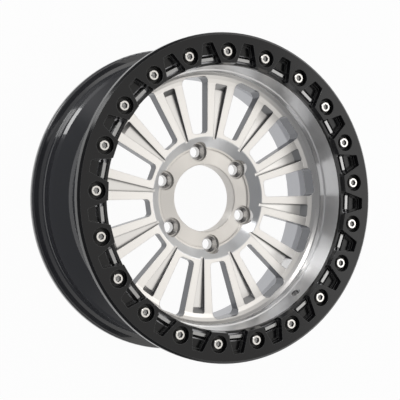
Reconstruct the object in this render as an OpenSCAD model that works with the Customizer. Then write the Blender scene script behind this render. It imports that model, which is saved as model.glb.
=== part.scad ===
// Beadlock wheel for a light truck: a one-piece forged wheel, the clamp ring
// that holds the outer tyre bead, and the screws and washers that hold the ring.
// The wheel lies on its inboard flange, with the axle line upright along Z.

/* [Overall] */
// Diameter of the tyre's bead seat
bead_seat_d = 436.6; // [430:0.5:445]
// Width between the two bead faces
rim_w = 178; // [160:1:205]
// Height of the inboard flange over the bead seat
flange_h = 17.2; // [16:0.1:18.5]
// Depth of the drop centre under the bead seat
well_depth = 28.3; // [26:0.1:31]
// Wall of the barrel
wall = 6; // [5:0.5:7]

/* [Face] */
// Number of spokes
spokes = 12; // [10:1:12]
// Share of the circle that the windows take
window_share = 0.475; // [0.4:0.005:0.5]
// Radius where the windows begin
window_in_r = 97; // [96:0.5:100]
// Width of the rim of metal outside the windows
window_rim = 5; // [4:0.5:8]
// Corner radius of a window at its outer end
window_corner = 8; // [5:0.5:9]
// Thickness of a spoke
spoke_t = 17; // [14:0.5:20]
// Depth of the face's outer edge under the ring's front
face_depth = 62; // [54:0.5:68]
// Rise of the face from the hub's rim to the pockets' ends
face_rise = 4.5; // [2:0.5:8]
// Depth of a spoke's pocket at its outer end
pocket_depth = 7.5; // [4:0.5:9]
// Depth of a spoke's pocket where it runs out into the hub recess
pocket_mouth = 2.6; // [1.5:0.1:4]
// Distance from a pocket's outer end to the windows' outer end
pocket_rim = 10; // [8:0.5:16]
// Length of the ramp at a pocket's outer end
pocket_ramp = 8.5; // [6:0.5:14]
// Width of a pocket at its outer end
pocket_wide = 20; // [16:0.5:24]
// Width of a pocket at the hub
pocket_narrow = 3.6; // [2:0.2:5]

/* [Hub] */
// Diameter of the centre bore
bore_d = 100.5; // [95:0.5:108]
// Circle of the lug holes
lug_pcd = 139.7; // [135:0.1:142]
// Number of lug holes
lugs = 6; // [5:1:6]
// Diameter of a lug hole
lug_hole_d = 15.6; // [14:0.1:17]
// Diameter of the pocket round a lug nut
lug_pocket_d = 28.6; // [26:0.2:31]
// Diameter of a lug nut's conical seat
lug_seat_d = 24; // [22:0.2:25]
// Thickness of the hub pad at the lug holes
pad_t = 21; // [18:0.5:25]
// Depth of the hub pad under the face's inner rim
pad_depth = 15; // [12:0.5:18]
// Width of the mounting face outside the circle of the lug holes
mount_rim = 14.15; // [13:0.05:16]
// Diameter of the hub pad's flat
pad_d = 147; // [142:1:150]
// Diameter of the hub recess at the spokes
hub_rim_d = 183; // [178:1:188]

/* [Beadlock ring] */
// Reach of the ring beyond the inboard flange
ring_over = 0.5; // [0:0.5:4]
// Width of the ring from its opening to its outer edge
ring_band = 45.5; // [44:0.5:47]
// Thickness of the ring
ring_t = 16; // [15:0.5:18]
// Number of ring screws
ring_screws = 21; // [18:1:21]
// Distance of the ring screws from the ring's outer edge
screw_inset = 27.5; // [26.5:0.5:28.5]
// Depth of a pocket between two teeth
notch_depth = 13; // [11:0.5:14]
// Distance of a pocket's outer end from the ring's outer edge
notch_inset = 14; // [12:0.5:17]
// Width of a pocket at its outer end
notch_narrow = 16; // [13:0.5:18]
// Width of a pocket at its inner end
notch_wide = 33; // [28:0.5:34]
// Diameter of the counterbore round a screw's head
counterbore_d = 25.4; // [24:0.1:26.4]
// Depth of the counterbore
counterbore_depth = 10.6; // [10:0.1:12]
// Chamfer round the ring's front edge
ring_chamfer = 3.4; // [2:0.2:5]

/* [Screws] */
// Thread diameter of a ring screw
screw_d = 9.5; // [8:0.5:10]
// Diameter of a screw's head
head_d = 14.4; // [13:0.1:16]
// Height of a screw's head
head_h = 6.8; // [6:0.1:8]
// Width of the hexagon socket across its flats
socket_af = 7.9; // [6:0.1:8]
// Depth of the hexagon socket
socket_depth = 4.6; // [3:0.1:5]
// Length of a screw under its head
screw_l = 26; // [22:0.5:28]
// Diameter of a washer
washer_d = 20.6; // [18:0.2:22]
// Thickness of a washer
washer_t = 1.6; // [1.2:0.1:2]
// Gap round a screw in the ring's holes and the washers
screw_gap = 0.4; // [0.3:0.05:0.6]

/* [Hidden] */
$fn = 96;
eps = 0.01;

// Overlap of a rounded corner's arc with the sides it runs into
corner_lap = 0.02;

// Heights along the axle line, from the surface that the wheel lies on
flange_t = 11.3;
bead_z = flange_t + rim_w;
seat_drop = 2.4;
ring_seat_z = bead_z - seat_drop;
ring_top_z = ring_seat_z + ring_t;
face_out_z = ring_top_z - face_depth;
face_cove = 10.5;
pocket_end_z = face_out_z - face_cove;
hub_rim_z = pocket_end_z - face_rise;
pad_z = hub_rim_z - pad_depth;
mount_z = pad_z - pad_t;

// Radii
seat_r = bead_seat_d / 2;
flange_r = seat_r + flange_h;
well_r = seat_r - well_depth;
ring_r = flange_r + ring_over;
ring_bore_r = ring_r - ring_band;
screw_r = ring_r - screw_inset;
notch_out_r = ring_r - notch_inset;
hub_rim_r = hub_rim_d / 2;
pad_r = pad_d / 2;
bore_r = bore_d / 2;
mount_r = lug_pcd / 2 + mount_rim;
shelf_r = seat_r - 1.1;
face_out_r = ring_bore_r - 4.6;
lip_step_r = ring_bore_r - 3.4;
window_out_r = face_out_r - window_rim;
pocket_out_r = window_out_r - pocket_rim;

// Inboard half of the barrel
flange_round = 3.6;
hump_h = 1.4;
hump_z = flange_t + 24;
well_start_z = hump_z + 19;
well_end_z = well_start_z + 30;
leg_r = well_r + 13;
leg_z = well_end_z + 18;

// Outboard bead stop and the shelf that the ring's screws go into
stop_r = shelf_r + 4.6;
stop_t = 9;
bead_gap = 14;
stop_z = ring_seat_z - bead_gap;
shelf_h = stop_z - stop_t;

// Angles between the repeated features
spoke_step = 360 / spokes;
screw_step = 360 / ring_screws;
lug_step = 360 / lugs;

// Valve hole through the lip
valve_angle = -72;
valve_d = 11.5;
valve_seat_d = 17;
valve_z = face_out_z + 24;
valve_tilt = 32;

// Smaller corners: a window's inner end, a spoke's pocket, the ring's cuts
window_corner_in = 5.5;
pocket_corner = 2.8;
notch_corner = 2.2;
slot_corner = 1.8;

// Depth of a lug nut's pocket under the hub pad
lug_pocket_depth = 3.5;

// Drive blocks between the ring's teeth
block_inset = 6;
block_w = 7.9;
block_in_r = ring_bore_r + block_inset;
block_out_r = block_in_r + block_w;
block_l = 21;
block_h = 7;
block_shift = 1.3;
block_chamfer = 3.4;
slot_gap = 1.6;
slot_side = 0.7;
relief_d = 4.6;
relief_depth = 6;

// Cone at the bottom of a hexagon socket
socket_tip = 1.4;

// Inner band of the ring that joins the teeth
band_w = 3.4;
band_h = 6;
tooth_lean = 1.6;

// Ledge round the floor of a pocket between two teeth
ledge_depth = ring_t - band_h;
ledge_side = 1.7;
ledge_end = 3.6;

// Unit vector at an angle, and the distance between two points
function along(a) = [cos(a), sin(a)];

// Points where a corner's rounding starts and ends, going round the outline
function corner_in(p, q, r, half) = p + (q - p) / norm(q - p) * r / tan(half);

// Half the angle at corner b of the outline a, b, c
function half_angle(a, b, c) =
    acos(((a - b) * (c - b)) / (norm(a - b) * norm(c - b))) / 2;

// Centre of the circle that rounds corner b
function corner_centre(a, b, c, r) =
    let (u = (a - b) / norm(a - b), v = (c - b) / norm(c - b))
    b + (u + v) / norm(u + v) * r / sin(half_angle(a, b, c));

// A polygon whose corners are round, with true arcs; a radius of 0 keeps a corner
module rounded_outline(pts, radii) {
    n = len(pts);
    polygon([for (i = [0:n - 1])
        let (a = pts[(i + n - 1) % n], b = pts[i], c = pts[(i + 1) % n],
             r = radii[i], h = half_angle(a, b, c))
        each (r > 0 ? [corner_in(b, a, r, h), corner_in(b, c, r, h)] : [b])]);
    for (i = [0:n - 1])
        if (radii[i] > 0)
            translate(corner_centre(pts[(i + n - 1) % n], pts[i], pts[(i + 1) % n], radii[i]))
                circle(radii[i] + corner_lap);
}

// Copies the children round the axle line
module around(count, start = 0) {
    for (i = [0:count - 1])
        rotate(start + i * 360 / count)
            children();
}

// The outline in the R-Z plane of the barrel, the lip and the face
module wheel_section() {
    difference() {
        union() {
            barrel_section();
            face_section();
        }
        translate([flange_r, flange_t / 2])
            flange_corners();
    }
}

// Takes the two outer corners of the inboard flange down to a round
module flange_corners() {
    for (side = [-1, 1])
        difference() {
            translate([-flange_round, side > 0 ? flange_t / 2 - flange_round : -flange_t / 2])
                square([flange_round + 1, flange_round]);
            translate([-flange_round, side * (flange_t / 2 - flange_round)])
                circle(flange_round);
        }
}

// Barrel from the inboard flange to the ring's seat, outside first and back inside
module barrel_section() {
    polygon([
        [seat_r + 2.5, 0],
        [flange_r, 0],
        [flange_r, flange_t],
        [seat_r + 7, flange_t],
        [seat_r + 2.2, flange_t + 1.6],
        [seat_r, flange_t + 6],
        [seat_r - 1.6, hump_z - 3],
        [seat_r - 1.6 + hump_h, hump_z],
        [seat_r - 1.6 + hump_h, hump_z + 2],
        [seat_r - 4, hump_z + 5],
        [well_r + 3, well_start_z - 2.4],
        [well_r, well_start_z + 2],
        [well_r, well_end_z],
        [leg_r - 2, leg_z - 2],
        [leg_r, leg_z + 3],
        [leg_r + 1.5, shelf_h - 9],
        [stop_r - 2, shelf_h],
        [stop_r, shelf_h + 2],
        [stop_r, stop_z - 1.5],
        [stop_r - 1.5, stop_z],
        [shelf_r, stop_z],
        [shelf_r, ring_seat_z],
        [ring_bore_r, ring_seat_z],
        [ring_bore_r - 1.5, face_out_z + 11],
        [lip_step_r - 0.2, face_out_z + 10.2],
        [lip_step_r - 0.8, face_out_z + 1.6],
        [lip_step_r + 0.2, face_out_z + 1.2],
        [lip_step_r + 0.2, face_out_z - 0.6],
        [lip_step_r - 0.7, face_out_z - 0.6],
        [face_out_r, face_out_z],
        [face_out_r - 2, hub_rim_z - 6],
        [well_r - wall + 6, hub_rim_z - spoke_t - 3],
        [well_r - wall + 6, leg_z],
        [well_r - wall, well_end_z + 4],
        [well_r - wall, well_start_z - 4],
        [seat_r - 1.6 - wall, hump_z + 1],
        [seat_r - 1.0 - wall, flange_t - 3],
        [seat_r + 0.5, 1]
    ]);
}

// Spokes and hub, turned as one disc before they are cut
module face_section() {
    polygon([
        [bore_r, mount_z],
        [mount_r, mount_z],
        [mount_r + 3, mount_z + 2],
        [mount_r + 6, hub_rim_z - spoke_t - 2],
        [hub_rim_r + 4, hub_rim_z - spoke_t],
        [pocket_out_r, pocket_end_z - spoke_t - 1],
        [well_r - wall + 7, pocket_end_z - spoke_t - 6],
        [well_r, pocket_end_z - spoke_t],
        [well_r, face_out_z - 2],
        [face_out_r, face_out_z - 0.4],
        [face_out_r - 4, face_out_z - 4.5],
        [face_out_r - 9, face_out_z - 8],
        [pocket_out_r, pocket_end_z],
        [hub_rim_r, hub_rim_z],
        [hub_rim_r - 1.2, hub_rim_z - 0.6],
        [pad_r + 3.4, pad_z + 2.8],
        [pad_r + 0.8, pad_z + 2],
        [pad_r, pad_z + 0.6],
        [pad_r - 0.8, pad_z],
        [bore_r + 1.2, pad_z + 1.8],
        [bore_r, pad_z + 0.6]
    ]);
}

// Opening between two spokes, cut right through
module window() {
    half = spoke_step * window_share / 2;
    inner = window_in_r;
    outer = window_out_r;
    translate([0, 0, mount_z - 30])
        linear_extrude(ring_top_z)
            rounded_outline([
                inner * along(-half), outer * along(-half),
                outer * along(half), inner * along(half)
            ], [window_corner_in, window_corner, window_corner, window_corner_in]);
}

// Tapered pocket along a spoke, open into the hub recess, with a ramp at its end
module spoke_pocket() {
    floor_z = hub_rim_z - pocket_mouth;
    start_r = hub_rim_r - 8;
    top_z = face_out_z + 5;
    intersection() {
        linear_extrude(ring_top_z)
            rounded_outline([
                [start_r, -pocket_narrow / 2], [pocket_out_r, -pocket_wide / 2],
                [pocket_out_r, pocket_wide / 2], [start_r, pocket_narrow / 2]
            ], [0, pocket_corner, pocket_corner, 0]);
        translate([0, pocket_wide, 0])
            rotate([90, 0, 0])
                linear_extrude(2 * pocket_wide)
                    polygon([
                        [start_r - 1, floor_z],
                        [pocket_out_r - pocket_ramp, pocket_end_z - pocket_depth],
                        [pocket_out_r + 0.5, pocket_end_z + 0.5],
                        [pocket_out_r + 0.5, top_z],
                        [start_r - 1, top_z]
                    ]);
    }
}

// Lug hole with its conical seat and the pocket for the nut and its socket
module lug_hole() {
    seat_z = pad_z - lug_pocket_depth;
    seat_h = (lug_seat_d - lug_hole_d) / 2 / tan(30);
    translate([lug_pcd / 2, 0, 0]) {
        translate([0, 0, mount_z - 1])
            cylinder(h = pad_t + 2, d = lug_hole_d);
        translate([0, 0, seat_z - seat_h])
            cylinder(h = seat_h, d1 = lug_hole_d, d2 = lug_seat_d);
        translate([0, 0, seat_z - eps])
            cylinder(h = ring_top_z - seat_z, d = lug_pocket_d);
    }
}

// Valve hole, drilled at a slant through the lip, with a spot face
module valve_hole() {
    reach = shelf_r - lip_step_r;
    rotate(valve_angle)
        translate([ring_bore_r - 1.2, 0, valve_z])
            rotate([0, -90 + valve_tilt, 0]) {
                translate([0, 0, -reach])
                    cylinder(h = 2 * reach, d = valve_d);
                translate([0, 0, -1.5])
                    cylinder(h = reach, d = valve_seat_d);
            }
}

// Machined block that stands in a window of the ring and stops it turning
module drive_block() {
    translate([0, block_shift + block_l / 2, 0])
        rotate([90, 0, 0])
            linear_extrude(block_l)
                polygon([
                    [block_in_r, ring_seat_z - 1],
                    [block_in_r, ring_seat_z + block_h],
                    [block_out_r - block_chamfer, ring_seat_z + block_h],
                    [block_out_r, ring_seat_z + block_h - block_chamfer],
                    [block_out_r, ring_seat_z - 1]
                ]);
}

// Tapped hole for a ring screw, and the reliefs at the ends of a drive block
module shelf_holes() {
    tapped = screw_l - (ring_t - counterbore_depth) - washer_t + 2;
    translate([screw_r, 0, ring_seat_z - tapped])
        cylinder(h = tapped + 1, d = screw_d);
    rotate(screw_step / 2)
        for (side = [-1, 1])
            translate([
                (block_in_r + block_out_r) / 2,
                block_shift + side * (block_l + relief_d) / 2,
                ring_seat_z - relief_depth
            ])
                cylinder(h = relief_depth + 1, d = relief_d);
}

// Shallow round reliefs between the lug holes on the mounting side
module back_reliefs() {
    around(lugs, lug_step / 2 + spoke_step / 2)
        translate([lug_pcd / 2, 0, mount_z - 1])
            cylinder(h = 5, d = 22);
}

module wheel() {
    color([0.86, 0.86, 0.86])
        difference() {
            union() {
                rotate_extrude()
                    wheel_section();
                around(ring_screws, screw_step / 2)
                    drive_block();
            }
            around(spokes, spoke_step / 2)
                window();
            around(spokes)
                spoke_pocket();
            around(lugs, spoke_step / 2)
                lug_hole();
            around(ring_screws)
                shelf_holes();
            back_reliefs();
            valve_hole();
        }
}

// The ring's outline in the R-Z plane before its teeth are cut
module ring_section() {
    polygon([
        [ring_bore_r, ring_seat_z],
        [shelf_r + 0.4, ring_seat_z],
        [shelf_r + 2, bead_z],
        [ring_r - 1.4, bead_z],
        [ring_r, bead_z + 1.4],
        [ring_r, ring_top_z - ring_chamfer],
        [ring_r - ring_chamfer, ring_top_z],
        [ring_bore_r, ring_top_z]
    ]);
}

// Outline of a pocket between two teeth, narrower and shorter by the given margins
module notch_outline(side, end) {
    slope = (notch_wide - notch_narrow) / (notch_out_r - ring_bore_r - tooth_lean);
    narrow = notch_narrow / 2 - side + slope * end / 2;
    wide = notch_wide / 2 - side + slope * (tooth_lean + 4) / 2;
    rounded_outline([
        [ring_bore_r - 4, -wide], [notch_out_r - end, -narrow],
        [notch_out_r - end, narrow], [ring_bore_r - 4, wide]
    ], [0, notch_corner, notch_corner, 0]);
}

// Pocket between two teeth: a ledge, a floor, and a window for the drive block
module notch() {
    band_r = ring_bore_r + band_w;
    slot_in = notch_wide / 2 - 1;
    slot_out = block_l / 2 + block_shift + slot_side;
    difference() {
        union() {
            translate([0, 0, ring_top_z - ledge_depth])
                linear_extrude(ledge_depth + 1)
                    notch_outline(0, 0);
            translate([0, 0, ring_top_z - notch_depth])
                linear_extrude(notch_depth)
                    notch_outline(ledge_side, ledge_end);
        }
        translate([0, 0, ring_seat_z - 1])
            cylinder(h = band_h + 1, r = band_r);
    }
    translate([0, 0, ring_seat_z - 1])
        linear_extrude(ring_t)
            rounded_outline([
                [band_r, -slot_in], [block_out_r + slot_gap, -slot_out],
                [block_out_r + slot_gap, slot_out], [band_r, slot_in]
            ], [slot_corner, slot_corner, slot_corner, slot_corner]);
}

// Leans a tooth's inner wall back and makes it flat
module tooth_flat() {
    half_w = ring_bore_r * sin(screw_step / 2) - 1;
    translate([0, half_w, 0])
        rotate([90, 0, 0])
            linear_extrude(2 * half_w)
                polygon([
                    [ring_bore_r - 8, ring_seat_z + band_h],
                    [ring_bore_r, ring_seat_z + band_h],
                    [ring_bore_r + tooth_lean, ring_top_z + eps],
                    [ring_bore_r + tooth_lean, ring_top_z + 1],
                    [ring_bore_r - 8, ring_top_z + 1]
                ]);
}

module beadlock_ring() {
    color([0.12, 0.12, 0.13])
        difference() {
            rotate_extrude()
                ring_section();
            around(ring_screws, screw_step / 2)
                notch();
            around(ring_screws)
                tooth_flat();
            around(ring_screws)
                translate([screw_r, 0, 0]) {
                    translate([0, 0, ring_top_z - counterbore_depth])
                        cylinder(h = counterbore_depth + 1, d = counterbore_d);
                    translate([0, 0, ring_seat_z - 1])
                        cylinder(h = ring_t, d = screw_d + 2 * screw_gap);
                }
        }
}

// Cap screw with a hexagon socket, its head on the washer
module ring_screw() {
    under_z = ring_top_z - counterbore_depth + washer_t;
    edge = 0.7;
    difference() {
        union() {
            translate([0, 0, under_z])
                cylinder(h = head_h - edge, d = head_d);
            translate([0, 0, under_z + head_h - edge])
                cylinder(h = edge, d1 = head_d, d2 = head_d - 2 * edge);
            translate([0, 0, under_z - screw_l + 1])
                cylinder(h = screw_l, d = screw_d - 0.1);
            translate([0, 0, under_z - screw_l])
                cylinder(h = 1, d1 = screw_d - 1.9, d2 = screw_d - 0.1);
        }
        translate([0, 0, under_z + head_h - socket_depth])
            cylinder(h = socket_depth + 1, d = socket_af / cos(30), $fn = 6);
        translate([0, 0, under_z + head_h - socket_depth - socket_tip])
            cylinder(h = socket_tip + eps, d1 = 0.6, d2 = socket_af - 0.8);
    }
}

module ring_screws() {
    color([0.75, 0.75, 0.74])
        around(ring_screws)
            translate([screw_r, 0, 0])
                ring_screw();
}

module ring_washers() {
    color([0.08, 0.08, 0.08])
        around(ring_screws)
            translate([screw_r, 0, ring_top_z - counterbore_depth])
                difference() {
                    cylinder(h = washer_t, d = washer_d);
                    translate([0, 0, -1])
                        cylinder(h = washer_t + 2, d = screw_d + 2 * screw_gap);
                }
}

wheel();
beadlock_ring();
ring_screws();
ring_washers();
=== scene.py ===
# A forged beadlock wheel for a light truck, lying on its inboard flange in a white studio.
# The camera looks down on the wheel's face at the same slant as the photograph.
import math

import bpy
import numpy as np
from mathutils import Matrix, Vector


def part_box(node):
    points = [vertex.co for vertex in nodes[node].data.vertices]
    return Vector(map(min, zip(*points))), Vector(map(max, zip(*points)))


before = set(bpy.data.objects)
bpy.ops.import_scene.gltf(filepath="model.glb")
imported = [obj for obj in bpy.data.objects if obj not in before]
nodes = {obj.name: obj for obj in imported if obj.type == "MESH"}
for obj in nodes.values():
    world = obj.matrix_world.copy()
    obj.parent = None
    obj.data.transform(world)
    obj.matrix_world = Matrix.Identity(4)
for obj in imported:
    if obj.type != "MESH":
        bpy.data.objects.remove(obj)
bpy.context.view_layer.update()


# Camera
# A pinhole camera about 1.6 m from the wheel. The numbers are where the wheel's front ring
# lies in the camera's own axes: right, down and forward, and how far its face is turned.
MM = 0.001
PHOTO_PX = 400
FOCAL_PX = 1101.5
SENSOR_MM = 36
FAR_CLIP = 50
FACE_TURN = math.radians(26.822)
FACE_NOD = math.radians(-3.879)
ROLL = math.radians(5.41)
SPOKE_PHASE = math.radians(27.653)
RING_CENTRE = np.array([48.0, 24.7, 1567.7]) * MM
RING_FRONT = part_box("beadlock_ring")[1].z
SHIFT_UP = -0.05


def wheel_in_camera():
    """The wheel's own axes as columns in the camera's axes, from turn, nod, roll and phase."""
    out = np.array([math.sin(FACE_TURN) * math.cos(FACE_NOD), math.sin(FACE_NOD),
                    -math.cos(FACE_TURN) * math.cos(FACE_NOD)])
    up = np.array([0.0, -1.0, 0.0])
    up = up - out * (up @ out)
    up /= np.linalg.norm(up)
    right = np.cross(up, out)
    spoke = math.cos(SPOKE_PHASE) * right + math.sin(SPOKE_PHASE) * up
    across = -math.sin(SPOKE_PHASE) * right + math.cos(SPOKE_PHASE) * up
    c, s = math.cos(ROLL), math.sin(ROLL)
    turn = np.array([[c, -s, 0], [s, c, 0], [0, 0, 1]])
    return turn @ np.column_stack([spoke, across, out])


to_camera = wheel_in_camera()
base_in_camera = RING_CENTRE - to_camera[:, 2] * RING_FRONT
eye = -to_camera.T @ base_in_camera
view_right, view_down, view_ahead = (to_camera.T @ axis for axis in np.eye(3))

camera_data = bpy.data.cameras.new("camera")
camera_data.sensor_width = SENSOR_MM
camera_data.lens = FOCAL_PX / PHOTO_PX * SENSOR_MM
camera_data.shift_y = SHIFT_UP
camera_data.clip_end = FAR_CLIP
camera = bpy.data.objects.new("camera", camera_data)
bpy.context.scene.collection.objects.link(camera)
placing = np.eye(4)
placing[:3, :3] = np.column_stack([view_right, -view_down, -view_ahead])
placing[:3, 3] = eye
camera.matrix_world = Matrix(placing.tolist())
bpy.context.scene.camera = camera
bpy.context.scene.view_settings.view_transform = "Standard"


# Studio
# A white floor and surround as the eye sees them. Metal sees the white floor too, and above
# it a room: grey walls, a dark side where the camera stands, and broad white panels.
def only_the_eye(tree, glossy_too):
    """A mask of the rays that look at the background straight, through glass or in gloss."""
    path = tree.nodes.new("ShaderNodeLightPath")
    seen = path.outputs["Is Camera Ray"]
    for kind in ["Is Transmission Ray"] + ["Is Glossy Ray"] * glossy_too:
        both = tree.nodes.new("ShaderNodeMath")
        both.operation = "MAXIMUM"
        tree.links.new(seen, both.inputs[0])
        tree.links.new(path.outputs[kind], both.inputs[1])
        seen = both.outputs[0]
    return seen


def direction(right, up, back):
    """A unit vector in the wheel's axes from one along the photograph's right, up and back."""
    way = view_right * right - view_down * up - view_ahead * back
    return way / np.linalg.norm(way)


def colour_mix(tree):
    """A node that blends two colours."""
    mix = tree.nodes.new("ShaderNodeMix")
    mix.data_type = "RGBA"
    return mix


ROOM_GREY = (0.20, 0.205, 0.215)
PLAIN_GREY = 0.5
WHITE = (1, 1, 1, 1)
ROOM_PANELS = [
    # right, up, back, full inside this angle, none outside this angle, colour
    (1.0, 0.0, 0.0, 46, 92, (0.91, 0.895, 0.87)),
    (0.40, -0.90, -0.06, 5, 16, (0.80, 0.80, 0.80)),
    (0.52, 0.62, 0.59, 5, 15, (1.25, 1.23, 1.20)),
    (-0.15, 0.80, 0.58, 8, 20, (0.90, 0.90, 0.91)),
    (-0.92, 0.15, 0.36, 10, 20, (0.75, 0.76, 0.78)),
]


def room_colour(tree):
    """The room's colour in each direction: its grey, with every panel blended over it in turn."""
    looked_at = tree.nodes.new("ShaderNodeTexCoord").outputs["Generated"]
    room = None
    for right, up, back, full, none, colour in ROOM_PANELS:
        near = tree.nodes.new("ShaderNodeVectorMath")
        near.operation = "DOT_PRODUCT"
        near.inputs[1].default_value = direction(right, up, back)
        tree.links.new(looked_at, near.inputs[0])
        share = tree.nodes.new("ShaderNodeMapRange")
        share.interpolation_type = "SMOOTHSTEP"
        share.inputs["From Min"].default_value = math.cos(math.radians(none))
        share.inputs["From Max"].default_value = math.cos(math.radians(full))
        tree.links.new(near.outputs["Value"], share.inputs["Value"])
        mixed = colour_mix(tree)
        tree.links.new(share.outputs["Result"], mixed.inputs["Factor"])
        mixed.inputs["A"].default_value = (*ROOM_GREY, 1)
        if room is not None:
            tree.links.new(room, mixed.inputs["A"])
        mixed.inputs["B"].default_value = (*colour, 1)
        room = mixed.outputs["Result"]
    return room


world = bpy.data.worlds.new("studio")
bpy.context.scene.world = world
world.use_nodes = True
room_tree = world.node_tree
room = room_colour(room_tree)
path = room_tree.nodes.new("ShaderNodeLightPath")
plain_light = colour_mix(room_tree)
plain_light.inputs["A"].default_value = (PLAIN_GREY, PLAIN_GREY, PLAIN_GREY, 1)
room_tree.links.new(path.outputs["Is Glossy Ray"], plain_light.inputs["Factor"])
room_tree.links.new(room, plain_light.inputs["B"])
to_the_eye = colour_mix(room_tree)
to_the_eye.inputs["B"].default_value = WHITE
room_tree.links.new(only_the_eye(room_tree, False), to_the_eye.inputs["Factor"])
room_tree.links.new(plain_light.outputs["Result"], to_the_eye.inputs["A"])
room_tree.links.new(to_the_eye.outputs["Result"], room_tree.nodes["Background"].inputs["Color"])

FLOOR_HALF = 6.0
FLOOR_Z = -0.0004
FLOOR_COLOUR = (0.9, 0.9, 0.9, 1)
FLOOR_WHITE_SHARE = 0.96
floor_mesh = bpy.data.meshes.new("floor")
floor_corners = [(x * FLOOR_HALF, y * FLOOR_HALF, FLOOR_Z) for x, y in ((-1, -1), (1, -1), (1, 1), (-1, 1))]
floor_mesh.from_pydata(floor_corners, [], [(0, 1, 2, 3)])
floor = bpy.data.objects.new("floor", floor_mesh)
bpy.context.scene.collection.objects.link(floor)
floor_paint = bpy.data.materials.new("floor_paint")
floor_paint.use_nodes = True
floor_tree = floor_paint.node_tree
floor_tree.nodes.remove(floor_tree.nodes["Principled BSDF"])
floor_lit = floor_tree.nodes.new("ShaderNodeBsdfDiffuse")
floor_lit.inputs["Color"].default_value = FLOOR_COLOUR
floor_glow = floor_tree.nodes.new("ShaderNodeEmission")
floor_share = floor_tree.nodes.new("ShaderNodeMath")
floor_share.operation = "MULTIPLY"
floor_share.inputs[1].default_value = FLOOR_WHITE_SHARE
floor_tree.links.new(only_the_eye(floor_tree, True), floor_share.inputs[0])
floor_mix = floor_tree.nodes.new("ShaderNodeMixShader")
floor_tree.links.new(floor_share.outputs[0], floor_mix.inputs[0])
floor_tree.links.new(floor_lit.outputs[0], floor_mix.inputs[1])
floor_tree.links.new(floor_glow.outputs[0], floor_mix.inputs[2])
floor_tree.links.new(floor_mix.outputs[0], floor_tree.nodes["Material Output"].inputs["Surface"])
floor_mesh.materials.append(floor_paint)

LAMP_AIM = np.array([0.0, 0.0, 0.12])


def soft_box(name, right, up, back, size, power):
    """An area lamp placed in metres right of, above and towards the camera from the wheel."""
    data = bpy.data.lights.new(name, "AREA")
    data.shape = "RECTANGLE"
    data.size, data.size_y = size
    data.energy = power
    lamp = bpy.data.objects.new(name, data)
    away = view_right * right - view_down * up - view_ahead * back
    place = LAMP_AIM + away
    away /= np.linalg.norm(away)
    side = np.cross(-view_down, away)
    side /= np.linalg.norm(side)
    matrix = np.eye(4)
    matrix[:3, :3] = np.column_stack([side, np.cross(away, side), away])
    matrix[:3, 3] = place
    lamp.matrix_world = Matrix(matrix.tolist())
    bpy.context.scene.collection.objects.link(lamp)


soft_box("key_box", -0.9, 1.5, 1.3, (0.8, 0.6), 9)
soft_box("side_box", 1.6, 0.3, 0.6, (0.5, 1.6), 2.5)


# Wheel
# One aluminium forging: barrel, flanges, spokes and hub. The face, lip and hub are machined
# bare, the pockets are milled, and the tyre side of the barrel is painted gloss black.
# Where the rounded normal parts from the flat one, the colour is lightened: a painted highlight along edges.
HIGHLIGHT_EDGE_FROM, HIGHLIGHT_EDGE_FULL = 0.995, 0.85
# Ambient occlusion darkens the colour in creases and hollows: painted shade.
CREASE_SHADE_FROM, CREASE_SHADE_FULL = 0.95, 0.45
BUMP_STRENGTH = 0.5
STREAKS_ACROSS_LINES = 0.25


def grain_group():
    """Even grain: noise on Object coordinates, out as a height."""
    group = bpy.data.node_groups.new("metal_grain", "ShaderNodeTree")
    face = group.interface
    face.new_socket("Scale", in_out="INPUT", socket_type="NodeSocketFloat").default_value = 900.0
    face.new_socket("Height", in_out="OUTPUT", socket_type="NodeSocketFloat")
    inside, outside = group.nodes.new("NodeGroupInput"), group.nodes.new("NodeGroupOutput")
    where = group.nodes.new("ShaderNodeTexCoord")
    noise = group.nodes.new("ShaderNodeTexNoise")
    noise.inputs["Detail"].default_value = 3
    group.links.new(where.outputs["Object"], noise.inputs["Vector"])
    group.links.new(inside.outputs["Scale"], noise.inputs["Scale"])
    group.links.new(noise.outputs["Fac"], outside.inputs["Height"])
    return group


def turned_group():
    """Lathe lines: noise along the radius and the height only, so it runs in rings."""
    group = bpy.data.node_groups.new("turned_lines", "ShaderNodeTree")
    face = group.interface
    face.new_socket("Lines", in_out="INPUT", socket_type="NodeSocketFloat").default_value = 1500.0
    face.new_socket("Height", in_out="OUTPUT", socket_type="NodeSocketFloat")
    inside, outside = group.nodes.new("NodeGroupInput"), group.nodes.new("NodeGroupOutput")
    where = group.nodes.new("ShaderNodeTexCoord")
    apart = group.nodes.new("ShaderNodeSeparateXYZ")
    flat = group.nodes.new("ShaderNodeVectorMath")
    flat.operation = "MULTIPLY"
    flat.inputs[1].default_value = (1, 1, 0)
    length = group.nodes.new("ShaderNodeVectorMath")
    length.operation = "LENGTH"
    both = group.nodes.new("ShaderNodeCombineXYZ")
    noise = group.nodes.new("ShaderNodeTexNoise")
    noise.noise_dimensions = "2D"
    noise.inputs["Detail"].default_value = 4
    group.links.new(where.outputs["Object"], apart.inputs[0])
    group.links.new(where.outputs["Object"], flat.inputs[0])
    group.links.new(flat.outputs[0], length.inputs[0])
    group.links.new(length.outputs["Value"], both.inputs["X"])
    group.links.new(apart.outputs["Z"], both.inputs["Y"])
    group.links.new(both.outputs[0], noise.inputs["Vector"])
    group.links.new(inside.outputs["Lines"], noise.inputs["Scale"])
    group.links.new(noise.outputs["Fac"], outside.inputs["Height"])
    return group


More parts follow.
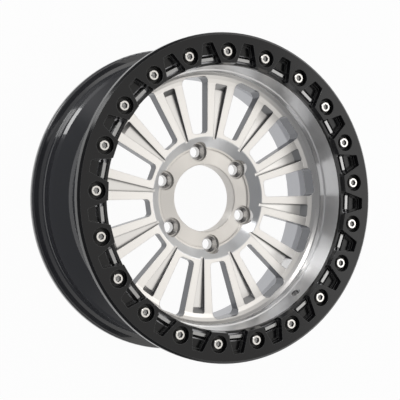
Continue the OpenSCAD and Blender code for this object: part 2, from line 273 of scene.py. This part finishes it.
def painted_edge_and_crease_group():
    """Rounded edges as a normal, with one mask of edges for a painted highlight and one of creases, from
    ambient occlusion, for painted shade.
    """
    group = bpy.data.node_groups.new("painted_edges_and_creases", "ShaderNodeTree")
    face = group.interface
    face.new_socket("Edge", in_out="INPUT", socket_type="NodeSocketFloat").default_value = 0.001
    face.new_socket("Reach", in_out="INPUT", socket_type="NodeSocketFloat").default_value = 0.003
    face.new_socket("Highlit_Edge", in_out="OUTPUT", socket_type="NodeSocketFloat")
    face.new_socket("Shaded_Crease", in_out="OUTPUT", socket_type="NodeSocketFloat")
    face.new_socket("Normal", in_out="OUTPUT", socket_type="NodeSocketVector")
    inside, outside = group.nodes.new("NodeGroupInput"), group.nodes.new("NodeGroupOutput")
    rounded = group.nodes.new("ShaderNodeBevel")
    rounded.samples = 4
    group.links.new(inside.outputs["Edge"], rounded.inputs["Radius"])
    plain = group.nodes.new("ShaderNodeNewGeometry")
    agree = group.nodes.new("ShaderNodeVectorMath")
    agree.operation = "DOT_PRODUCT"
    group.links.new(rounded.outputs["Normal"], agree.inputs[0])
    group.links.new(plain.outputs["Normal"], agree.inputs[1])
    # Mask of edges whose colour is lightened as a painted highlight.
    highlit_edge_mask = group.nodes.new("ShaderNodeMapRange")
    highlit_edge_mask.inputs["From Min"].default_value = HIGHLIGHT_EDGE_FROM
    highlit_edge_mask.inputs["From Max"].default_value = HIGHLIGHT_EDGE_FULL
    group.links.new(agree.outputs["Value"], highlit_edge_mask.inputs["Value"])
    # Ambient occlusion: a mask of creases whose colour is darkened as painted shade.
    shut_in = group.nodes.new("ShaderNodeAmbientOcclusion")
    shut_in.samples = 8
    group.links.new(inside.outputs["Reach"], shut_in.inputs["Distance"])
    shaded_crease_mask = group.nodes.new("ShaderNodeMapRange")
    shaded_crease_mask.inputs["From Min"].default_value = CREASE_SHADE_FROM
    shaded_crease_mask.inputs["From Max"].default_value = CREASE_SHADE_FULL
    group.links.new(shut_in.outputs["AO"], shaded_crease_mask.inputs["Value"])
    group.links.new(highlit_edge_mask.outputs["Result"], outside.inputs["Highlit_Edge"])
    group.links.new(shaded_crease_mask.outputs["Result"], outside.inputs["Shaded_Crease"])
    group.links.new(rounded.outputs["Normal"], outside.inputs["Normal"])
    return group


metal_grain = grain_group()
turned_lines = turned_group()
painted_edges_and_creases = painted_edge_and_crease_group()


def finish(name, colour, roughness, metallic=1.0, effect=metal_grain, scale=900.0, depth=0.02,
           rough_spread=0.06, directional=0.0, coat=0.0, coat_rough=0.1, specular=0.5, edge=0.5,
           reach=3.0, crease_shade=0.0, edge_highlight=0.0):
    """A surface whose roughness and relief follow one effect, with painted shade in creases and a painted
    highlight on edges; depth, edge, reach in millimetres.
    """
    material = bpy.data.materials.new(name)
    material.use_nodes = True
    tree = material.node_tree
    shader = tree.nodes["Principled BSDF"]
    shader.inputs["Base Color"].default_value = (*colour, 1)
    shader.inputs["Metallic"].default_value = metallic
    shader.inputs["Specular IOR Level"].default_value = specular
    shader.inputs["Coat Weight"].default_value = coat
    shader.inputs["Coat Roughness"].default_value = coat_rough
    relief = tree.nodes.new("ShaderNodeGroup")
    relief.node_tree = effect
    relief.inputs[0].default_value = scale
    spread = tree.nodes.new("ShaderNodeMapRange")
    spread.inputs["To Min"].default_value = roughness - rough_spread
    spread.inputs["To Max"].default_value = roughness + rough_spread
    tree.links.new(relief.outputs["Height"], spread.inputs["Value"])
    tree.links.new(spread.outputs["Result"], shader.inputs["Roughness"])
    bump = tree.nodes.new("ShaderNodeBump")
    bump.inputs["Strength"].default_value = BUMP_STRENGTH
    bump.inputs["Distance"].default_value = depth * MM
    tree.links.new(relief.outputs["Height"], bump.inputs["Height"])
    tree.links.new(bump.outputs["Normal"], shader.inputs["Normal"])
    painted_edge_and_crease = tree.nodes.new("ShaderNodeGroup")
    painted_edge_and_crease.node_tree = painted_edges_and_creases
    painted_edge_and_crease.inputs["Edge"].default_value = edge * MM
    painted_edge_and_crease.inputs["Reach"].default_value = reach * MM
    tree.links.new(painted_edge_and_crease.outputs["Normal"], bump.inputs["Normal"])
    # Base colour darkened in creases as painted shade and lightened on edges as a painted highlight.
    if crease_shade or edge_highlight:
        crease_shaded = colour_mix(tree)
        edge_lit = colour_mix(tree)
        crease_shaded.inputs["A"].default_value = (*colour, 1)
        crease_shaded.inputs["B"].default_value = (*(part * (1 - crease_shade) for part in colour), 1)
        edge_lit.inputs["B"].default_value = (*(part + (1 - part) * edge_highlight for part in colour), 1)
        tree.links.new(painted_edge_and_crease.outputs["Shaded_Crease"], crease_shaded.inputs["Factor"])
        tree.links.new(painted_edge_and_crease.outputs["Highlit_Edge"], edge_lit.inputs["Factor"])
        tree.links.new(crease_shaded.outputs["Result"], edge_lit.inputs["A"])
        tree.links.new(edge_lit.outputs["Result"], shader.inputs["Base Color"])
    if directional:
        tangent = tree.nodes.new("ShaderNodeTangent")
        tangent.direction_type = "RADIAL"
        tangent.axis = "Z"
        shader.inputs["Anisotropic"].default_value = directional
        shader.inputs["Anisotropic Rotation"].default_value = STREAKS_ACROSS_LINES
        tree.links.new(tangent.outputs["Tangent"], shader.inputs["Tangent"])
    return material


def facets(mesh):
    """Each facet's centre in millimetres and its unit normal."""
    centre, normal = np.zeros(len(mesh.polygons) * 3), np.zeros(len(mesh.polygons) * 3)
    mesh.polygons.foreach_get("center", centre)
    mesh.polygons.foreach_get("normal", normal)
    return centre.reshape(-1, 3) / MM, normal.reshape(-1, 3)


def dress(piece, finishes):
    """Puts these finishes, and no others, on a piece."""
    piece.data.materials.clear()
    for material in finishes:
        piece.data.materials.append(material)


def share_out(piece, kinds):
    """Gives each facet of a piece the finish of its kind."""
    piece.data.polygons.foreach_set("material_index", kinds.astype(np.int32))
    piece.data.update()


# Radii and heights in millimetres, from the axle line and from the surface that the wheel
# lies on. Pitches and the first lug hole's place are in degrees.
SEAT_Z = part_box("beadlock_ring")[0].z / MM
FACE_LINE = np.array([
    (76.9, 113.7),
    (91.5, 125.9),
    (170.9, 130.4),
    (176.9, 132.9),
    (181.9, 136.4),
    (186.0, 140.6),
])
BORE_R = 52
PAD_R = 76.9
PAD_Z = 110.9
PAD_TOP_Z = 114
PAD_BACK_R = 90
CONE_R = 91.5
CONE_LOW_Z, CONE_HIGH_Z = 105, 127
WINDOW_END_R = 182.5
LIP_R = 185.8
LIP_LOW_Z = 137
SHELF_R = 191.5
SHELF_Z = 186.5
TYRE_SIDE_R = 217.5
BLOCK_R = 192
BARREL_R = 186
BARREL_TOP_Z = 186
SPOKE_BACK_Z = 86.0
SPOKE_PITCH = 30
POCKET_INNER_R, POCKET_OUTER_R = 83.5, 170.9
POCKET_INNER_HALF, POCKET_SPREAD = 1.8, 8.2
POCKET_MARGIN = 0.7
POCKET_LAST_R = 172
POCKET_DEEPEST = 8.2
POCKET_LEAST = 0.6
FACE_SLACK = 0.3
RAMP_R = 155
LUG_CIRCLE_R = 69.85
LUG_PITCH = 60
FIRST_LUG = 15
LUG_POCKET_R = 14.6
LUG_LOW_Z = 89
LUG_RISE = 14
LUG_RIM_IN, LUG_RIM_OUT = 12.4, 14.35
SEAT_SLACK = 0.05
PAD_SLACK = 0.4
CONE_OVERLAP = 1
LEAST_R = 1e-6

# Shares of a facet's unit normal: up along the axle line, or outward from it.
STEEP = 0.6
UPRIGHT = 0.3
LEVEL = 0.95
NEAR_LEVEL = 0.9
NOT_UNDER = -0.2
FACES_DOWN = -0.5
OUTWARD = 0.05
LIP_OUTWARD = 0.3
NOT_INWARD = -0.2

MILLED = dict(scale=1500.0, depth=0.003, rough_spread=0.03, edge=0.8)
TURNED = dict(effect=turned_lines, rough_spread=0.03, directional=1.0)
wheel_finishes = [
    finish("face_machined", (0.83, 0.81, 0.785), 0.30, scale=700.0, depth=0.006, edge=1.6, edge_highlight=0.5),
    finish("lip_turned", (0.82, 0.82, 0.825), 0.32, depth=0.0003, edge=0.3, **TURNED),
    finish("hub_cone", (0.76, 0.77, 0.785), 0.30, depth=0.0001, edge=0.6, **TURNED),
    finish("hub_pad", (0.84, 0.81, 0.77), 0.38, depth=0.0003, edge=0.8, crease_shade=0.5, **TURNED),
    finish("pocket_milled", (0.80, 0.785, 0.765), 0.30, crease_shade=0.8, reach=3.5, **MILLED),
    # Pocket ramps and sides: the pocket floor's milled aluminium given darker colours as painted shade.
    finish("pocket_ramp", (0.54, 0.535, 0.53), 0.30, crease_shade=0.6, **MILLED),
    finish("pocket_side", (0.20, 0.20, 0.21), 0.30, crease_shade=0.6, edge_highlight=0.6, **MILLED),
    # Window walls: the face's aluminium given a much darker colour, as painted shade and painted reflection
    # of the dark barrel inside.
    finish("window_wall", (0.15, 0.153, 0.162), 0.22, scale=600.0, depth=0.006, edge=1.6, edge_highlight=0.35),
    finish("barrel_inside", (0.44, 0.445, 0.465), 0.34, effect=turned_lines, depth=0.01),
    finish("lug_seat", (0.62, 0.61, 0.60), 0.18, depth=0.004, crease_shade=0.6, reach=5.0, edge_highlight=0.4),
    # Drive blocks: bare aluminium given a dark grey colour as painted shade in the ring's notches.
    finish("drive_block", (0.38, 0.38, 0.38), 0.24, effect=turned_lines, scale=700.0, crease_shade=0.7),
    finish("barrel_paint", (0.030, 0.031, 0.036), 0.16, metallic=0.0, scale=60.0, coat=1.0,
           coat_rough=0.03),
]
FACE, LIP, CONE, PAD, POCKET, RAMP, POCKET_SIDE, WALL, INSIDE, LUG, BLOCK, PAINT = range(len(wheel_finishes))


def sort_wheel_faces(mesh):
    """Tells each facet's finish from where it lies and which way it points."""
    centre, normal = facets(mesh)
    r = np.hypot(centre[:, 0], centre[:, 1])
    z = centre[:, 2]
    angle = np.degrees(np.arctan2(centre[:, 1], centre[:, 0]))
    outward = (normal[:, 0] * centre[:, 0] + normal[:, 1] * centre[:, 1]) / np.maximum(r, LEAST_R)
    up = normal[:, 2]
    below = np.interp(r, FACE_LINE[:, 0], FACE_LINE[:, 1]) - z
    spoke_turn = np.radians((angle + SPOKE_PITCH / 2) % SPOKE_PITCH - SPOKE_PITCH / 2)
    off_spoke = np.abs(r * np.sin(spoke_turn))
    along = (r - POCKET_INNER_R) / (POCKET_OUTER_R - POCKET_INNER_R)
    pocket_half = POCKET_INNER_HALF + along * POCKET_SPREAD + POCKET_MARGIN
    lug_turn = np.radians((angle - FIRST_LUG + LUG_PITCH / 2) % LUG_PITCH - LUG_PITCH / 2)
    lug_away = np.hypot(r * np.cos(lug_turn) - LUG_CIRCLE_R, r * np.sin(lug_turn))
    spokes = (z > SPOKE_BACK_Z) & (r > CONE_R - CONE_OVERLAP) & (r < LIP_R)
    in_pocket = spokes & (off_spoke < pocket_half) & (r < POCKET_LAST_R)
    in_pocket &= (below > -FACE_SLACK) & (below < POCKET_DEEPEST)
    lug_band = (z < PAD_Z + LUG_RISE) & (z > LUG_LOW_Z) & (up > FACES_DOWN)
    lug_rim = (lug_away > LUG_RIM_IN) & (lug_away < LUG_RIM_OUT)
    outside = (r > BARREL_R) & (outward > OUTWARD) & (z < BARREL_TOP_Z)
    shelf = (r > SHELF_R) & (z < SHELF_Z) & (outward > NOT_INWARD)
    kind = np.full(len(r), INSIDE)
    kind[spokes & (up <= STEEP) & (up > -STEEP) & (r < WINDOW_END_R)] = WALL
    kind[spokes & (up > STEEP)] = FACE
    kind[in_pocket & (up > UPRIGHT) & (below > POCKET_LEAST)] = POCKET
    kind[in_pocket & (up > UPRIGHT) & (up < LEVEL) & (r > RAMP_R)] = RAMP
    kind[in_pocket & (np.abs(up) <= UPRIGHT)] = POCKET_SIDE
    kind[(r >= LIP_R) & (r < SHELF_R) & (z > LIP_LOW_Z) & (outward < LIP_OUTWARD)] = LIP
    kind[(r < CONE_R) & (up > NOT_UNDER) & (z > CONE_LOW_Z) & (z < CONE_HIGH_Z)] = CONE
    kind[(r < PAD_R - PAD_SLACK) & (z < PAD_TOP_Z)] = PAD
    kind[(r < BORE_R) | ((r < PAD_BACK_R) & (up < FACES_DOWN))] = PAD
    kind[lug_band & (lug_away < LUG_POCKET_R)] = LUG
    kind[lug_rim & (up > NEAR_LEVEL)] = PAD
    kind[(r > TYRE_SIDE_R) | outside | shelf] = PAINT
    kind[(z > SEAT_Z + SEAT_SLACK) & (r > BLOCK_R)] = BLOCK
    return kind


wheel = nodes["wheel"]
dress(wheel, wheel_finishes)
share_out(wheel, sort_wheel_faces(wheel.data))


# Clamp ring
# A forged aluminium ring with a tooth at each screw, anodised and coated satin black.
# Its edges are painted a little lighter than its faces, as a painted highlight.
ring = nodes["beadlock_ring"]
dress(ring, [finish("ring_coat", (0.006, 0.006, 0.007), 0.17, metallic=0.0, depth=0.008,
                    specular=0.38, edge=1.1, edge_highlight=0.13)])


# Ring screws
# Stainless cap screws, each with its head in a counterbore of the ring. The walls of the hexagon sockets are
# painted near black as painted shade, and their floors are painted pale as a painted highlight.
SCREW_COUNT = 21
SCREW_CIRCLE = 208.5
SOCKET_R = 4.4
FLOOR_LIKE = 0.8
TOP_SLACK = 0.2
screw_finishes = [
    finish("screw_steel", (0.80, 0.78, 0.75), 0.20, scale=1500.0, depth=0.008, edge=0.3),
    # Socket walls: near black as painted shade. Socket floors: pale as a painted highlight.
    finish("screw_socket", (0.05, 0.05, 0.05), 0.40, scale=1500.0, depth=0.008, edge=0.1),
    finish("socket_floor", (0.95, 0.94, 0.92), 0.55, metallic=0.7, scale=1500.0, depth=0.008, edge=0.1),
]
STEEL, SOCKET_WALL, SOCKET_FLOOR = range(len(screw_finishes))


def sort_screw_faces(mesh):
    """Tells the sockets' upright walls and their floors from the rest of the screws."""
    centre, normal = facets(mesh)
    step = 2 * math.pi / SCREW_COUNT
    turn = (np.arctan2(centre[:, 1], centre[:, 0]) + step / 2) % step - step / 2
    r = np.hypot(centre[:, 0], centre[:, 1])
    away = np.hypot(r * np.cos(turn) - SCREW_CIRCLE, r * np.sin(turn))
    in_head = (away < SOCKET_R) & (centre[:, 2] > SEAT_Z)
    top = centre[:, 2].max() - TOP_SLACK
    kind = np.full(len(r), STEEL)
    kind[in_head & (np.abs(normal[:, 2]) < FLOOR_LIKE)] = SOCKET_WALL
    kind[in_head & (normal[:, 2] >= FLOOR_LIKE) & (centre[:, 2] < top)] = SOCKET_FLOOR
    return kind


screws = nodes["ring_screws"]
dress(screws, screw_finishes)
share_out(screws, sort_screw_faces(screws.data))


# Washers
# Plain black washers at the bottom of the ring's counterbores, one under each screw's head.
washers = nodes["ring_washers"]
dress(washers, [finish("washer_black", (0.015, 0.015, 0.015), 0.4, metallic=0.0)])
